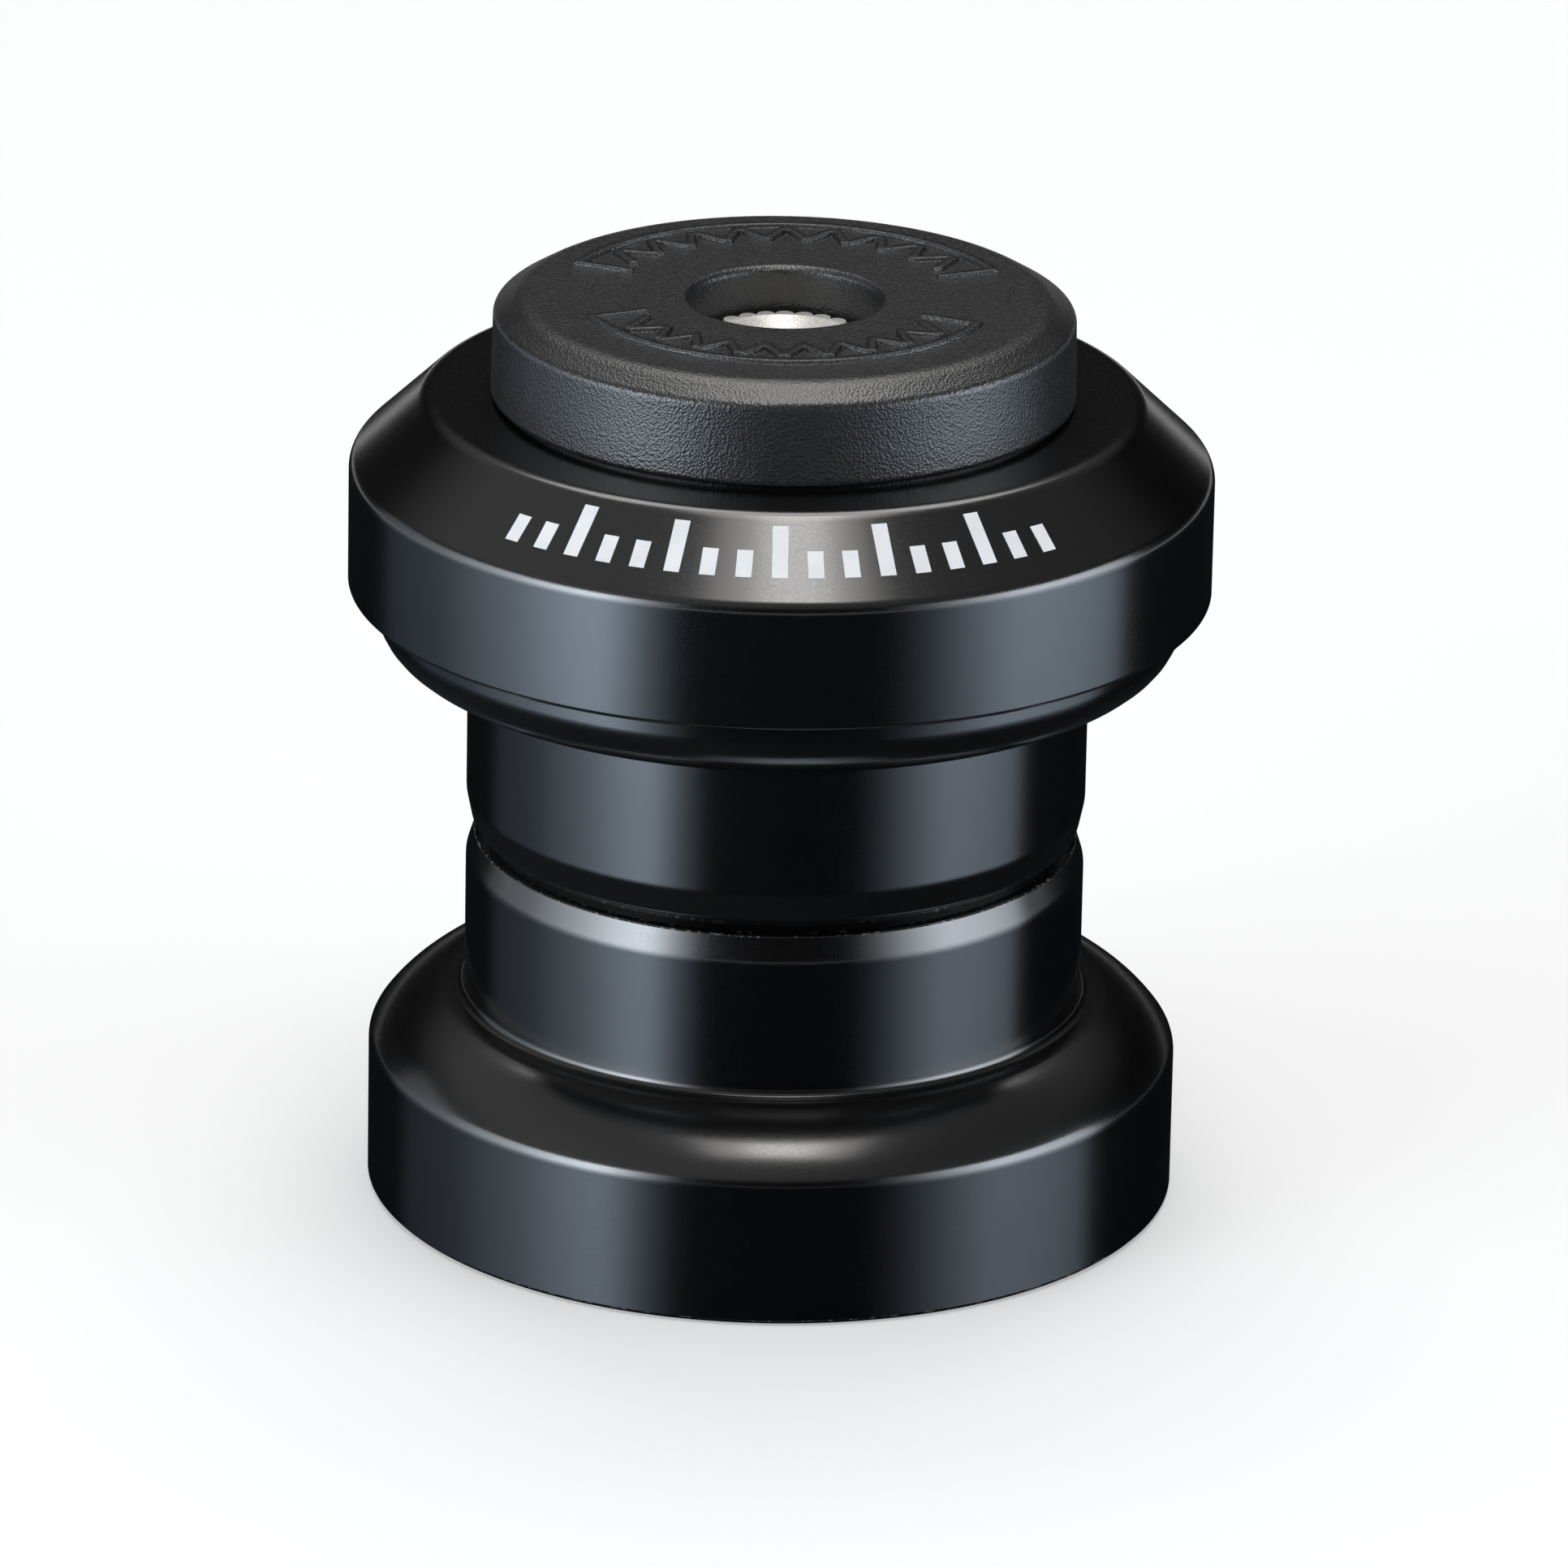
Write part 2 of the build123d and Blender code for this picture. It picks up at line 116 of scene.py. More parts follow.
# Bearing cover
steerer_bore_r = 14.40 * mm
cover_hub_r = 18.20 * mm
cover_hub_z = 41.40 * mm
cover_ceiling_r = 19.88 * mm
cover_ceiling_z = 43.60 * mm
cover_skirt_r = 22.50 * mm
cover_skirt_top_z = 41.11 * mm
cover_skirt_z = 34.65 * mm
cover_skirt_round = 0.16 * mm
cover_rim_r = 23.65 * mm
cover_rim_edge = 0.20 * mm
cover_rim_under_round = 0.10 * mm
cover_rim_outer_round = 0.16 * mm
cover_corner_z = 41.60 * mm
cover_corner_round = 1.00 * mm
cover_land_r = 19.50 * mm
cover_land_round = 1.20 * mm
cover_top_z = 45.55 * mm
o_ring_groove_r = 15.95 * mm
o_ring_low_z = 42.70 * mm
o_ring_high_z = 44.60 * mm

# Bolt: a serrated socket head and a rolled thread
bolt_low, bolt_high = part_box("top_cap_bolt")
bolt_head_r = bolt_high.x
bolt_shank_r = 3.0 * mm
bolt_tip_edge = 0.6 * mm
bolt_head_h = 6.0 * mm
bolt_edge = 0.4 * mm
bolt_hex = 5.0 * mm
bolt_hex_depth = 3.0 * mm
bolt_dish_r = 4.35 * mm
bolt_dish_floor_r = 2.937 * mm
bolt_dish_h = 1.0 * mm
bolt_teeth = 26
bolt_tooth_depth = 0.45 * mm
bolt_tooth_roundness = 0.6
bolt_columns_a_tooth = 8
thread_pitch = 1.0 * mm
thread_depth = 0.55 * mm
thread_crest_share = 1 / 6
thread_rows_a_turn = 8
thread_length = 20.0 * mm

# Printed scale on the cover's cone
cover_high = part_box("bearing_cover")[1]
cover_r = cover_high.x
cover_cone_w = cover_rim_r - cover_land_r
cover_cone_h = cover_top_z - cover_corner_z
scale_step_deg = 5.0
scale_half_deg = 40.0
scale_long_every = 3
scale_low = 0.32
scale_high_short = 0.60
scale_high_long = 0.86
scale_mark_w = 0.85 * mm
scale_ink = 0.02 * mm

# Finishes
noise_low = 0.3
noise_high = 0.7
patch_detail = 4.0
speck_detail = 3.0
grain_detail = 2.0
tool_lines_a_metre = 9000
soft_samples = 8

# Camera of the photograph
camera_target = Vector((0, 0, 25 * mm))
camera_distance = 0.700
camera_elevation = 20.4
camera_roll = 1.1
camera_lens = 292.0
camera_sensor = 36.0
camera_shift = (0.0047, -0.0231)
camera_far = 100.0

# Studio: floor, reflected table top, sky, lamps, and the light panels' radiance by direction
floor_half = 12.0
floor_z = -0.1 * mm
floor_lift = 0.32
floor_dark = (0.78, 0.78, 0.78)
floor_light = (0.79, 0.79, 0.79)
floor_mottle = 20
floor_rough = 0.95
table_half = 0.5
table_z = -0.05 * mm
table_rough = 0.1
# The table's mirror colour by distance from the axis, darker near it as painted shade where the
# headset stands
table_painted_shade_start = 0.030
table_painted_shade_middle = 0.098
table_painted_shade_end = 0.130
table_shine_in_painted_shade = (0.12, 0.145, 0.17)
table_shine_half_painted_shade = (0.135, 0.162, 0.19)
table_shine_far = (0.22, 0.263, 0.305)
sky_rim = 0.010
sky_rim_top = 0.38
sky_high = 0.20
sky_high_low = 0.62
sky_side = 0.6
lamp_color = (1.0, 0.98, 0.955)
lamps = {
    "top_light": {"place": (0.09, -0.12, 2.0), "size": (0.45, 1.25), "level": 3.45},
    "top_glow": {"place": (0.07, -0.10, 2.02), "size": (1.0, 1.45), "level": 1.8},
    "back_light": {"place": (0.0, 1.1, 1.9), "size": (1.6, 0.9), "level": 2.6},
}
panel_radius = 1.0
panel_top = 0.47
panel_steps = 24
panel_color = (0.85, 0.92, 1.0)
left_panel_levels = {-128: 0.3, -99: 0.9, -73: 3.2, -60: 5.7, -47: 7.7, -36: 2.4, -26: 0.0}
right_panel_levels = {30: 0.0, 40: 0.7, 52: 2.6, 65: 4.9, 78: 4.5, 92: 3.3, 100: 2.4, 104: 0.0}


def add_node(tree, kind, inputs=None, **settings):
    """A shader node with its settings and the constant values of its inputs."""
    node = tree.nodes.new(kind)
    for name, value in settings.items():
        setattr(node, name, value)
    for name, value in (inputs or {}).items():
        node.inputs[name].default_value = value
    return node


def math_node(tree, operation, first, second=None):
    """The output of a Math node; each operand is a socket or a number."""
    node = add_node(tree, "ShaderNodeMath", operation=operation)
    for place, operand in enumerate((first, second)):
        if isinstance(operand, bpy.types.NodeSocket):
            tree.links.new(operand, node.inputs[place])
        elif operand is not None:
            node.inputs[place].default_value = operand
    return node.outputs[0]


def object_place(tree):
    """The point's own coordinates on the object."""
    return add_node(tree, "ShaderNodeTexCoord").outputs["Object"]


def noise(tree, vector, scale, detail=grain_detail):
    """Noise from 0 to 1, with features of about 1 / scale metres."""
    node = add_node(tree, "ShaderNodeTexNoise", {"Scale": scale, "Detail": detail})
    tree.links.new(vector, node.inputs["Vector"])
    return node.outputs["Fac"]


def pits(tree, vector, scale):
    """Rounded grains of about 1 / scale metres, side by side, from 0 to about 0.8."""
    node = add_node(tree, "ShaderNodeTexVoronoi", {"Scale": scale})
    tree.links.new(vector, node.inputs["Vector"])
    return node.outputs["Distance"]


def ranged(tree, value, low, high):
    """A value scaled so that low becomes 0 and high becomes 1, and kept between them."""
    node = add_node(tree, "ShaderNodeMapRange", {"From Min": low, "From Max": high})
    tree.links.new(value, node.inputs["Value"])
    return node.outputs["Result"]


def spread(tree, value, low, high):
    """A noise value spread from low to high."""
    span = {"From Min": noise_low, "From Max": noise_high, "To Min": low, "To Max": high}
    node = add_node(tree, "ShaderNodeMapRange", span)
    tree.links.new(value, node.inputs["Value"])
    return node.outputs["Result"]


def ramp(tree, value, stops):
    """A colour by a value, from (position, colour) stops in rising order."""
    node = add_node(tree, "ShaderNodeValToRGB")
    elements = node.color_ramp.elements
    while len(elements) < len(stops):
        elements.new(0.5)
    for element, (position, color) in zip(elements, stops):
        element.position = position
        element.color = (*color, 1)
    tree.links.new(value, node.inputs["Fac"])
    return node.outputs["Color"]


def tint(tree, value, dark, light):
    """A colour between two, by a noise value."""
    return ramp(tree, value, [(noise_low, dark), (noise_high, light)])


def tool_lines(tree, place):
    """Noise that runs round the axis in fine lines, as a lathe leaves them."""
    parts = add_node(tree, "ShaderNodeSeparateXYZ")
    tree.links.new(place, parts.inputs[0])
    square_x = math_node(tree, "POWER", parts.outputs["X"], 2.0)
    square_y = math_node(tree, "POWER", parts.outputs["Y"], 2.0)
    section = add_node(tree, "ShaderNodeCombineXYZ")
    radius = math_node(tree, "SQRT", math_node(tree, "ADD", square_x, square_y))
    tree.links.new(radius, section.inputs["X"])
    tree.links.new(parts.outputs["Z"], section.inputs["Y"])
    return noise(tree, section.outputs[0], tool_lines_a_metre)


def finish(
    name,
    dark,
    light,
    rough,
    grain,
    depth,
    mottle=150,
    metallic=0.0,
    ior=1.5,
    turning=0.0,
    worn=None,
    soft=0.0,
    pitted=False,
):
    """A surface finish. Colour and roughness vary between two values, the colour over patches of
    1 / mottle metres. Grain and depth are the size and height of its surface texture, and turning
    is the height of fine tool lines round the axis. Worn is the bare metal's colour, which shows
    in specks where the mesh's own edge_wear value is high. Soft is the radius of moulded edges,
    and pitted makes the grain that of a spark-eroded mould."""
    made = bpy.data.materials.new(name)
    made.use_nodes = True
    tree = made.node_tree
    shader = tree.nodes["Principled BSDF"]
    shader.inputs["Metallic"].default_value = metallic
    shader.inputs["IOR"].default_value = ior
    place = object_place(tree)

    patches = noise(tree, place, mottle, patch_detail)
    fine = pits(tree, place, 1 / grain) if pitted else noise(tree, place, 1 / grain)
    color = tint(tree, patches, dark, light)
    if worn:
        edge = add_node(tree, "ShaderNodeAttribute", attribute_name="edge_wear").outputs["Fac"]
        specks = ranged(tree, noise(tree, place, 1 / wear_grain, speck_detail), wear_from, wear_full)
        bare = math_node(tree, "MULTIPLY", specks, edge)
        mix = add_node(tree, "ShaderNodeMix", {"B": (*worn, 1)}, data_type="RGBA")
        tree.links.new(bare, mix.inputs["Factor"])
        tree.links.new(color, mix.inputs["A"])
        color = mix.outputs["Result"]
        tree.links.new(bare, shader.inputs["Metallic"])
    tree.links.new(color, shader.inputs["Base Color"])
    tree.links.new(spread(tree, fine, *rough), shader.inputs["Roughness"])

    height = math_node(tree, "MULTIPLY", fine, depth)
    if turning:
        lines = math_node(tree, "MULTIPLY", tool_lines(tree, place), turning)
        height = math_node(tree, "ADD", height, lines)
    relief = add_node(tree, "ShaderNodeBump", {"Strength": 1.0, "Distance": 1.0})
    tree.links.new(height, relief.inputs["Height"])
    if soft:
        edges = add_node(tree, "ShaderNodeBevel", {"Radius": soft}, samples=soft_samples)
        tree.links.new(edges.outputs["Normal"], relief.inputs["Normal"])
    tree.links.new(relief.outputs["Normal"], shader.inputs["Normal"])
    return made


finish_plans = {
    "black_anodised": dict(
        dark=(0.0005, 0.0005, 0.0006),
        light=(0.0010, 0.0010, 0.0012),
        rough=(0.17, 0.24),
        grain=0.12 * mm,
        depth=0.0010 * mm,
        ior=2.0,
        turning=0.0011 * mm,
        worn=(0.62, 0.62, 0.63),
    ),
    "black_moulded": dict(
        dark=(0.007, 0.007, 0.008),
        light=(0.012, 0.012, 0.013),
        rough=(0.28, 0.40),
        grain=0.15 * mm,
        depth=0.024 * mm,
        mottle=400,
        ior=1.85,
        soft=0.30 * mm,
        pitted=True,
    ),
    "plated_steel": dict(
        dark=(0.90, 0.89, 0.84),
        light=(0.96, 0.95, 0.92),
        rough=(0.32, 0.52),
        grain=0.14 * mm,
        depth=0.014 * mm,
        mottle=900,
        metallic=0.45,
    ),
    "spring_steel": dict(
        dark=(0.42, 0.41, 0.40),
        light=(0.55, 0.54, 0.52),
        rough=(0.24, 0.40),
        grain=0.15 * mm,
        depth=0.003 * mm,
        mottle=300,
        metallic=1.0,
    ),
    "race_steel": dict(
        dark=(0.56, 0.56, 0.57),
        light=(0.64, 0.64, 0.65),
        rough=(0.12, 0.22),
        grain=0.10 * mm,
        depth=0.0006 * mm,
        metallic=1.0,
        turning=0.001 * mm,
    ),
    "ball_steel": dict(
        dark=(0.70, 0.70, 0.71),
        light=(0.76, 0.76, 0.77),
        rough=(0.04, 0.09),
        grain=0.20 * mm,
        depth=0.0002 * mm,
        metallic=1.0,
    ),
    "cage_nylon": dict(
        dark=(0.10, 0.075, 0.045),
        light=(0.15, 0.11, 0.065),
        rough=(0.40, 0.55),
        grain=0.20 * mm,
        depth=0.003 * mm,
        mottle=300,
    ),
    "seal_rubber": dict(
        dark=(0.010, 0.010, 0.011),
        light=(0.018, 0.018, 0.019),
        rough=(0.50, 0.65),
        grain=0.12 * mm,
        depth=0.004 * mm,
        mottle=400,
    ),
    "plain_alloy": dict(
        dark=(0.66, 0.67, 0.68),
        light=(0.74, 0.75, 0.76),
        rough=(0.22, 0.34),
        grain=0.12 * mm,
        depth=0.001 * mm,
        metallic=1.0,
        turning=0.002 * mm,
    ),
    "ink_white": dict(
        dark=(0.80, 0.81, 0.83),
        light=(0.88, 0.89, 0.90),
        rough=(0.45, 0.60),
        grain=0.10 * mm,
        depth=0.002 * mm,
        mottle=600,
    ),
}
finishes = {name: finish(name, **plan) for name, plan in finish_plans.items()}

# Each solid takes the finish of its slot in the record
slot_of_node = {}
for entry in frame["record"]["subparts"]:
    slot_of_node[entry["node"]] = entry["material_slot"]
for name, solid in solids.items():
    for slot in solid.material_slots:
        slot.material = finishes[slot_of_node[name]]


def mesh_piece(name, points, faces, body, material):
    """A closed mesh that rides on a body, smooth apart from its sharp edges."""
    mesh = bpy.data.meshes.new(name)
    mesh.from_pydata(points, [], faces)
    mesh.update()
    mesh.polygons.foreach_set("use_smooth", [True] * len(mesh.polygons))
    mesh.set_sharp_from_angle(angle=math.radians(sharp_deg))
    mesh.materials.append(material)
    piece = bpy.data.objects.new(name, mesh)
    bpy.context.scene.collection.objects.link(piece)
    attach(piece, body)
    return piece


def ring_faces(first, second, columns):
    """The faces between two rows of points round the axis, given by their first points."""
    return [
        (first + i, first + (i + 1) % columns, second + (i + 1) % columns, second + i)
        for i in range(columns)
    ]


def rounded(corners):
    """Points (radius, height, wear) of a closed section, from corners (radius, height, rounding).
    A point close to each rounding keeps the shading of the face beside it flat."""
    outline = []
    for k, (r, z, rounding) in enumerate(corners):
        corner = Vector((r, z))
        if not rounding:
            outline.append((r, z, 0.0))
            continue
        before = (Vector(corners[k - 1][:2]) - corner).normalized()
        after = (Vector(corners[(k + 1) % len(corners)][:2]) - corner).normalized()
        half = before.angle(after) / 2
        reach = rounding / math.tan(half)
        centre = corner + (before + after).normalized() * rounding / math.sin(half)
        start = corner + before * reach - centre
        stop = corner + after * reach - centre
        swing = math.pi - 2 * half
        outline.append((*(corner + before * (reach + turned_support)), 0.0))
        for step in range(turned_arc_steps + 1):
            part = step / turned_arc_steps
            arm = start * math.sin((1 - part) * swing) + stop * math.sin(part * swing)
            wear = math.sin(math.pi * part) if rounding < worn_round_most else 0.0
            outline.append((*(centre + arm / math.sin(swing)), wear))
        outline.append((*(corner + after * (reach + turned_support)), 0.0))
    return outline


def turned_piece(name, section, node, body):
    """A body of revolution in place of a solid, with the wear of its edges kept on its points."""
    outline = rounded(section)
    angles = [2 * math.pi * i / turned_columns for i in range(turned_columns)]
    points = [(r * math.cos(a), r * math.sin(a), z) for r, z, wear in outline for a in angles]
    faces = []
    for k in range(len(outline)):
        following = (k + 1) % len(outline)
        faces += ring_faces(k * turned_columns, following * turned_columns, turned_columns)
    slot = slot_of_node[node]
    piece = mesh_piece(name, points, faces, body, finishes[slot])
    edge_wear = piece.data.attributes.new("edge_wear", "FLOAT", "POINT")
    edge_wear.data.foreach_set("value", [wear for r, z, wear in outline for a in angles])
    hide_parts(node)


# Sections of the turned pieces, each from the inside of its foot outwards
cover_section = [
    (steerer_bore_r, cover_hub_z, 0),
    (cover_hub_r, cover_hub_z, 0),
    (cover_hub_r, cover_ceiling_z, 0),
    (cover_ceiling_r, cover_ceiling_z, 0),
    (cover_skirt_r, cover_skirt_top_z, 0),
    (cover_skirt_r, cover_skirt_z, cover_skirt_round),
    (cover_rim_r - cover_rim_edge, cover_skirt_z, cover_rim_under_round),
    (cover_rim_r, cover_skirt_z + cover_rim_edge, cover_rim_outer_round),
    (cover_rim_r, cover_corner_z, cover_corner_round),
    (cover_land_r, cover_top_z, cover_land_round),
    (steerer_bore_r, cover_top_z, 0),
    (steerer_bore_r, o_ring_high_z, 0),
    (o_ring_groove_r, o_ring_high_z, 0),
    (o_ring_groove_r, o_ring_low_z, 0),
    (steerer_bore_r, o_ring_low_z, 0),
]
upper_cup_section = [
    (sleeve_bore_r, sleeve_meet_z, 0),
    (nose_r, sleeve_meet_z, nose_round),
    (taper_r, taper_low_z, taper_low_round),
    (sleeve_r, taper_high_z, taper_high_round),
    (sleeve_r, flange_under_z, sleeve_fillet),
    (upper_flange_r, flange_under_z, flange_round),
    (upper_flange_r, flange_top_z, flange_top_round),
    (upstand_r, flange_top_z, 0),
    (upstand_r, lip_low_z, 0),
    (lip_groove_r, lip_low_z, 0),
    (lip_groove_r, lip_high_z, 0),
    (upstand_r, lip_high_z, 0),
    (upstand_r, upstand_top_z, 0),
    (pocket_r, upstand_top_z, 0),
    (pocket_r, upper_seat_z, 0),
    (seat_top_r, upper_seat_low_z, 0),
    (seat_top_r, upper_shelf_z, 0),
    (sleeve_bore_r, upper_shelf_z, 0),
]


def arc(centre, radius, first, last, steps):
    """Corners along an arc in the section, between two angles."""
    angles = [first + (last - first) * i / steps for i in range(steps + 1)]
    return [(centre.x + radius * math.cos(a), centre.y + radius * math.sin(a), 0) for a in angles]


def shoulder_corners():
    """The lower cup's shoulder: an arc from the wall's top to the tube's seat, and a smaller
    rounding that joins it to the wall."""
    wall_top = Vector((lower_flange_r, lower_wall_top_z))
    seat_edge = Vector((tube_seat_r, tube_seat_z))
    chord = seat_edge - wall_top
    radius = (chord.length_squared / 4 + shoulder_bulge ** 2) / (2 * shoulder_bulge)
    inward = Vector((-chord.y, chord.x)).normalized()
    centre = (wall_top + seat_edge) / 2 + inward * (radius - shoulder_bulge)
    edge_x = lower_flange_r - shoulder_edge_r
    edge_rise = math.sqrt((radius - shoulder_edge_r) ** 2 - (edge_x - centre.x) ** 2)
    edge_centre = Vector((edge_x, centre.y + edge_rise))
    join_angle = math.atan2(edge_rise, edge_x - centre.x)
    seat_angle = math.atan2(seat_edge.y - centre.y, seat_edge.x - centre.x)
    corners = [(lower_flange_r, edge_centre.y - turned_support, 0)]
    corners += arc(edge_centre, shoulder_edge_r, 0, join_angle, turned_arc_steps)
    corners += arc(centre, radius, join_angle, seat_angle, 3 * turned_arc_steps)[1:]
    return corners


lower_cup_section = [
    (rim_inner_r, 0, rim_inner_round),
    (lower_flange_r - rim_edge, 0, rim_under_round),
    (lower_flange_r, rim_edge, rim_outer_round),
    *shoulder_corners(),
    (sleeve_r, tube_seat_z, sleeve_fillet),
    (sleeve_r, lead_in_z, lead_in_round),
    (lead_in_r, sleeve_meet_z, sleeve_end_round),
    (sleeve_bore_r, sleeve_meet_z, sleeve_bore_round),
    (sleeve_bore_r, lower_shelf_z, 0),
    (seat_top_r, lower_shelf_z, 0),
    (seat_top_r, lower_seat_top_z, 0),
    (pocket_r, lower_seat_z, 0),
    (pocket_r, skirt_top_z, 0),
    (rim_inner_r, skirt_top_z, 0),
]
turned_piece("cover_body", cover_section, "bearing_cover", "upper_turning")
turned_piece("upper_cup_body", upper_cup_section, "upper_cup", "cups")
turned_piece("lower_cup_body", lower_cup_section, "lower_cup", "cups")

# Bolt: rows of points from the tip's middle to the bottom of the hex socket
columns = bolt_teeth * bolt_columns_a_tooth
turn = 2 * math.pi / columns
seat_z = bolt_high.z - bolt_head_h
thread_low = bolt_low.z + bolt_tip_edge
thread_steps = round(thread_length / thread_pitch * thread_rows_a_turn)
thread_flank = 2 / (1 - thread_crest_share)


def round_row(radius, z):
    return [(radius, z)] * columns


def tooth_row(radius, z):
    """The serrated head: rounded teeth with narrow valleys."""
    row = []
    for i in range(columns):
        phase = (i % bolt_columns_a_tooth) / bolt_columns_a_tooth
        fullness = math.sin(math.pi * phase) ** bolt_tooth_roundness
        row.append((radius - bolt_tooth_depth * (1 - fullness), z))
    return row


def hex_row(z):
    """The socket's six flats."""
    row = []
    for i in range(columns):
        off_flat = (i * turn + math.pi / 6) % (math.pi / 3) - math.pi / 6
        row.append((bolt_hex / 2 / math.cos(off_flat), z))
    return row


def thread_row(step):
    """One row of the thread's helix, with its crests cut flat."""
    row = []
    for i in range(columns):
        phase = (step / thread_rows_a_turn + i / columns) % 1
        cut = max(0, 1 - thread_flank * abs(phase - 0.5)) * thread_depth
        row.append((bolt_shank_r - cut, thread_low + step * thread_pitch / thread_rows_a_turn))
    return row


rows = [round_row(bolt_shank_r - bolt_tip_edge, bolt_low.z)]
rows += [thread_row(step) for step in range(thread_steps + 1)]
rows += [
    round_row(bolt_shank_r, thread_low + thread_length + thread_pitch),
    round_row(bolt_shank_r, seat_z),
    round_row(bolt_head_r - bolt_edge, seat_z),
    tooth_row(bolt_head_r, seat_z + bolt_edge / 2),
    tooth_row(bolt_head_r, bolt_high.z - bolt_edge),
    tooth_row(bolt_head_r - bolt_edge / 2, bolt_high.z),
    round_row(bolt_dish_r - bolt_edge / 2, bolt_high.z),
    round_row(bolt_dish_floor_r, bolt_high.z - bolt_dish_h),
    hex_row(bolt_high.z - bolt_dish_h),
    hex_row(bolt_high.z - bolt_hex_depth),
]
points = []
for row in rows:
    points += [(r * math.cos(i * turn), r * math.sin(i * turn), z) for i, (r, z) in enumerate(row)]
faces = []
for k in range(len(rows) - 1):
    faces += ring_faces(k * columns, (k + 1) * columns, columns)
last = (len(rows) - 1) * columns
faces.append(tuple(reversed(range(columns))))
faces.append(tuple(range(last, last + columns)))
bolt = mesh_piece("bolt", points, faces, "upper_turning", finishes["plated_steel"])
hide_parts("top_cap_bolt")


# Printed scale: short and long marks on the cone, centred on the front
def cone_point(share, across, proud, angle):
    """A point of the cone: a share of the way up it, across the mark, and proud of the surface."""
    slope = math.hypot(cover_cone_w, cover_cone_h)
    r = cover_r - share * cover_cone_w + proud * cover_cone_h / slope
    z = cover_high.z - (1 - share) * cover_cone_h + proud * cover_cone_w / slope
    turned = angle + across / r
    return (r * math.sin(turned), -r * math.cos(turned), z)


def scale_mark(angle, low, high):
    """The corners and faces of one thin printed mark: six corners under it, six above."""
    corners = [
        cone_point(share, part * scale_mark_w, proud, angle)
        for proud in (-scale_ink, scale_ink)
        for share in (low, high)
        for part in (-0.5, 0.0, 0.5)
    ]
    under = [(0, 3, 4, 1), (1, 4, 5, 2)]
    above = [(6, 7, 10, 9), (7, 8, 11, 10)]
    ends = [(0, 1, 7, 6), (1, 2, 8, 7), (3, 9, 10, 4), (4, 10, 11, 5)]
    flanks = [(0, 6, 9, 3), (2, 5, 11, 8)]
    return corners, under + above + ends + flanks


points = []
faces = []
mark_count = round(2 * scale_half_deg / scale_step_deg) + 1
for k in range(mark_count):
    from_middle = k - mark_count // 2
    is_long = from_middle % scale_long_every == 0
    mark_high = scale_high_long if is_long else scale_high_short
    corners, sides = scale_mark(math.radians(scale_step_deg * from_middle), scale_low, mark_high)
    faces += [tuple(len(points) + corner for corner in side) for side in sides]
    points += corners
mesh_piece("cover_scale", points, faces, "upper_turning", finishes["ink_white"])


# Studio
def stage_mesh(name, points, faces, material):
    """A mesh of the studio, which is no piece of the headset."""
    mesh = bpy.data.meshes.new(name)
    mesh.from_pydata(points, [], faces)
    mesh.update()
    mesh.materials.append(material)
    made = bpy.data.objects.new(name, mesh)
    bpy.context.scene.collection.objects.link(made)
    return made


def square(half, z):
    return [(-half, -half, z), (half, -half, z), (half, half, z), (-half, half, z)]


# The pale floor, lifted a little towards white where it is seen or mirrored
floor_paint = bpy.data.materials.new("floor_paint")
floor_paint.use_nodes = True
tree = floor_paint.node_tree
shader = tree.nodes["Principled BSDF"]
shader.inputs["Roughness"].default_value = floor_rough
shader.inputs["Emission Color"].default_value = (1, 1, 1, 1)
floor_color = tint(tree, noise(tree, object_place(tree), floor_mottle), floor_dark, floor_light)
tree.links.new(floor_color, shader.inputs["Base Color"])
ray = add_node(tree, "ShaderNodeLightPath").outputs
seen = math_node(tree, "ADD", ray["Is Camera Ray"], ray["Is Glossy Ray"])
seen = math_node(tree, "ADD", seen, ray["Is Transmission Ray"])
tree.links.new(math_node(tree, "MULTIPLY", seen, floor_lift), shader.inputs["Emission Strength"])
stage_mesh("floor", square(floor_half, floor_z), [(0, 1, 2, 3)], floor_paint)

# The dark polished table top under the photographed headset, which only reflections show. Its mirror
# colour is darker near the axis: painted shade of the headset on the table.
table_top = bpy.data.materials.new("table_top")
table_top.use_nodes = True
tree = table_top.node_tree
away_from_axis = add_node(tree, "ShaderNodeVectorMath", operation="LENGTH")
tree.links.new(object_place(tree), away_from_axis.inputs[0])
# Painted shade: the mirror colour darkens towards the axis
out_of_painted_shade = ranged(tree, away_from_axis.outputs["Value"], table_painted_shade_start, table_painted_shade_end)
middle = (table_painted_shade_middle - table_painted_shade_start) / (table_painted_shade_end - table_painted_shade_start)
shine_and_painted_shade_stops = [(0, table_shine_in_painted_shade), (middle, table_shine_half_painted_shade), (1, table_shine_far)]
shader = tree.nodes["Principled BSDF"]
shader.inputs["Metallic"].default_value = 1.0
shader.inputs["Roughness"].default_value = table_rough
tree.links.new(ramp(tree, out_of_painted_shade, shine_and_painted_shade_stops), shader.inputs["Base Color"])
table = stage_mesh("table_top", square(table_half, table_z), [(0, 1, 2, 3)], table_top)
table.visible_camera = False
table.visible_diffuse = False
table.visible_transmission = False
table.visible_shadow = False


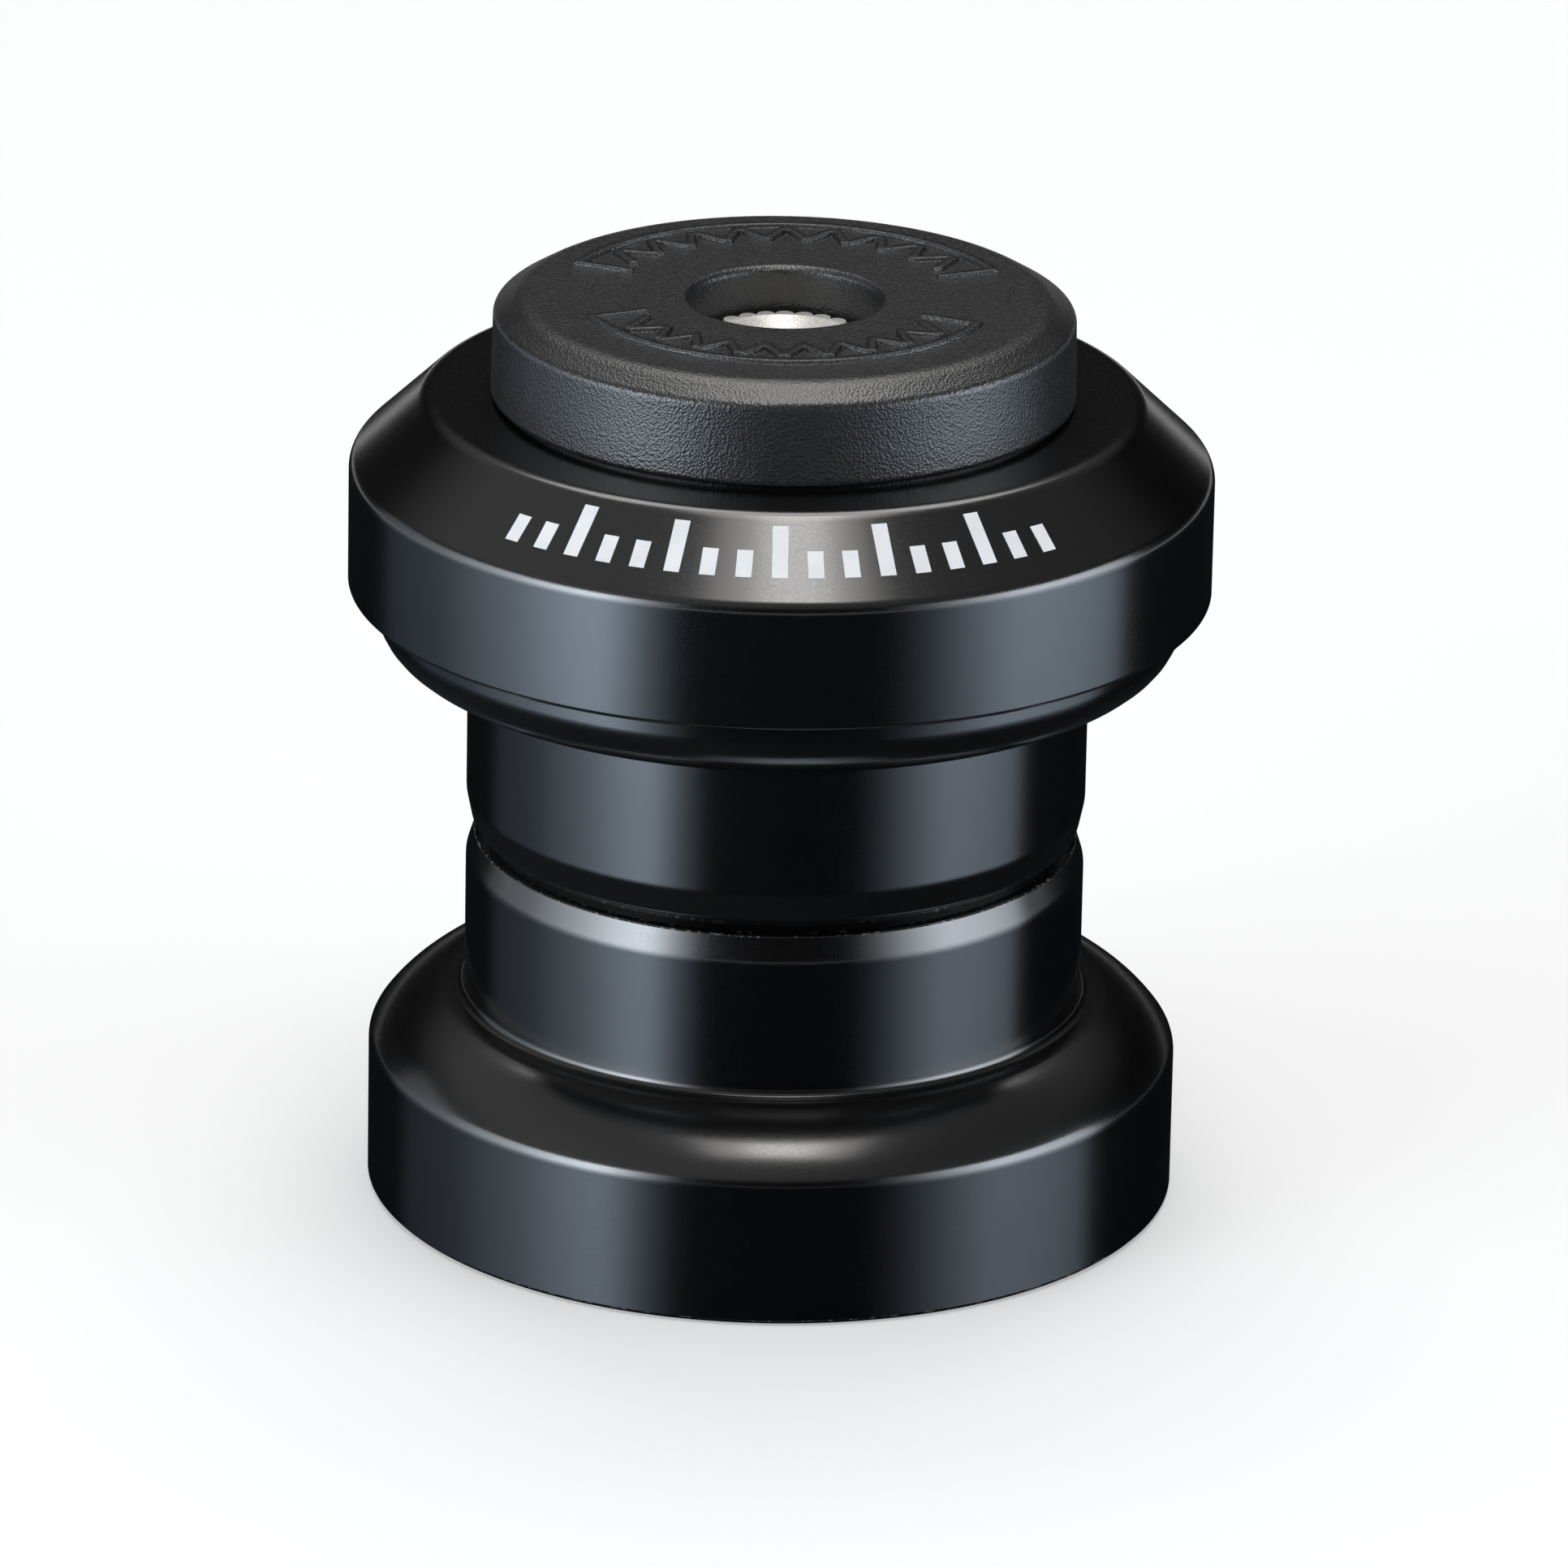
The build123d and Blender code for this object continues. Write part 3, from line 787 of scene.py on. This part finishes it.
def diffuser(name, levels):
    """A curved light panel round the object. Levels give its radiance by direction in degrees."""
    first = min(levels)
    last = max(levels)
    brightest = max(levels.values())
    glow = bpy.data.materials.new(name)
    glow.use_nodes = True
    tree = glow.node_tree
    tree.nodes.clear()
    parts = add_node(tree, "ShaderNodeSeparateXYZ")
    tree.links.new(object_place(tree), parts.inputs[0])
    front = math_node(tree, "MULTIPLY", parts.outputs["Y"], -1.0)
    angle = math_node(tree, "ARCTAN2", parts.outputs["X"], front)
    along = ranged(tree, angle, math.radians(first), math.radians(last))
    stops = []
    for degrees in sorted(levels):
        share = levels[degrees] / brightest
        stops.append(((degrees - first) / (last - first), (share, share, share)))
    strength = math_node(tree, "MULTIPLY", ramp(tree, along, stops), brightest)
    emission = add_node(tree, "ShaderNodeEmission", {"Color": (*panel_color, 1)})
    tree.links.new(strength, emission.inputs["Strength"])
    output = add_node(tree, "ShaderNodeOutputMaterial")
    tree.links.new(emission.outputs[0], output.inputs["Surface"])

    points = []
    for k in range(panel_steps + 1):
        a = math.radians(first + (last - first) * k / panel_steps)
        x = panel_radius * math.sin(a)
        y = -panel_radius * math.cos(a)
        points += [(x, y, 0), (x, y, panel_top)]
    faces = [(2 * k, 2 * k + 2, 2 * k + 3, 2 * k + 1) for k in range(panel_steps)]
    panel = stage_mesh(name, points, faces, glow)
    panel.visible_camera = False
    panel.visible_shadow = False


diffuser("left_panel", left_panel_levels)
diffuser("right_panel", right_panel_levels)

# Lamps overhead, each tilted about X only, so that it faces the axis in height and depth
for name, plan in lamps.items():
    lamp = bpy.data.lights.new(name, "AREA")
    lamp.shape = "RECTANGLE"
    lamp.size, lamp.size_y = plan["size"]
    lamp.color = lamp_color
    lamp.energy = plan["level"] * math.pi * lamp.size * lamp.size_y
    light = bpy.data.objects.new(name, lamp)
    light.location = plan["place"]
    backwards = Vector((0, light.location.y, light.location.z))
    light.rotation_euler = backwards.to_track_quat("Z", "Y").to_euler()
    bpy.context.scene.collection.objects.link(light)

# A dark room with a paler ceiling, brighter on the left than on the right
world = bpy.data.worlds.new("studio")
world.use_nodes = True
tree = world.node_tree
parts = add_node(tree, "ShaderNodeSeparateXYZ")
tree.links.new(add_node(tree, "ShaderNodeTexCoord").outputs["Generated"], parts.inputs[0])
sky_stops = [(sky_rim_top, (sky_rim,) * 3), (sky_high_low, (sky_high,) * 3)]
sky = ramp(tree, parts.outputs["Z"], sky_stops)
background = tree.nodes["Background"]
tree.links.new(sky, background.inputs["Color"])
leftward = math_node(tree, "MULTIPLY", parts.outputs["X"], -sky_side)
tree.links.new(math_node(tree, "ADD", leftward, 1.0), background.inputs["Strength"])
bpy.context.scene.world = world

# Camera
tilt = math.radians(camera_elevation)
away = Vector((0, -math.cos(tilt), math.sin(tilt)))
lens = bpy.data.cameras.new("camera")
lens.lens = camera_lens
lens.sensor_width = camera_sensor
lens.shift_x, lens.shift_y = camera_shift
lens.clip_end = camera_far
camera = bpy.data.objects.new("camera", lens)
camera.location = camera_target + away * camera_distance
facing = (-away).to_track_quat("-Z", "Y") @ Quaternion((0, 0, 1), math.radians(camera_roll))
camera.rotation_euler = facing.to_euler()
bpy.context.scene.collection.objects.link(camera)
bpy.context.scene.camera = camera
bpy.context.scene.view_settings.view_transform = "Standard"
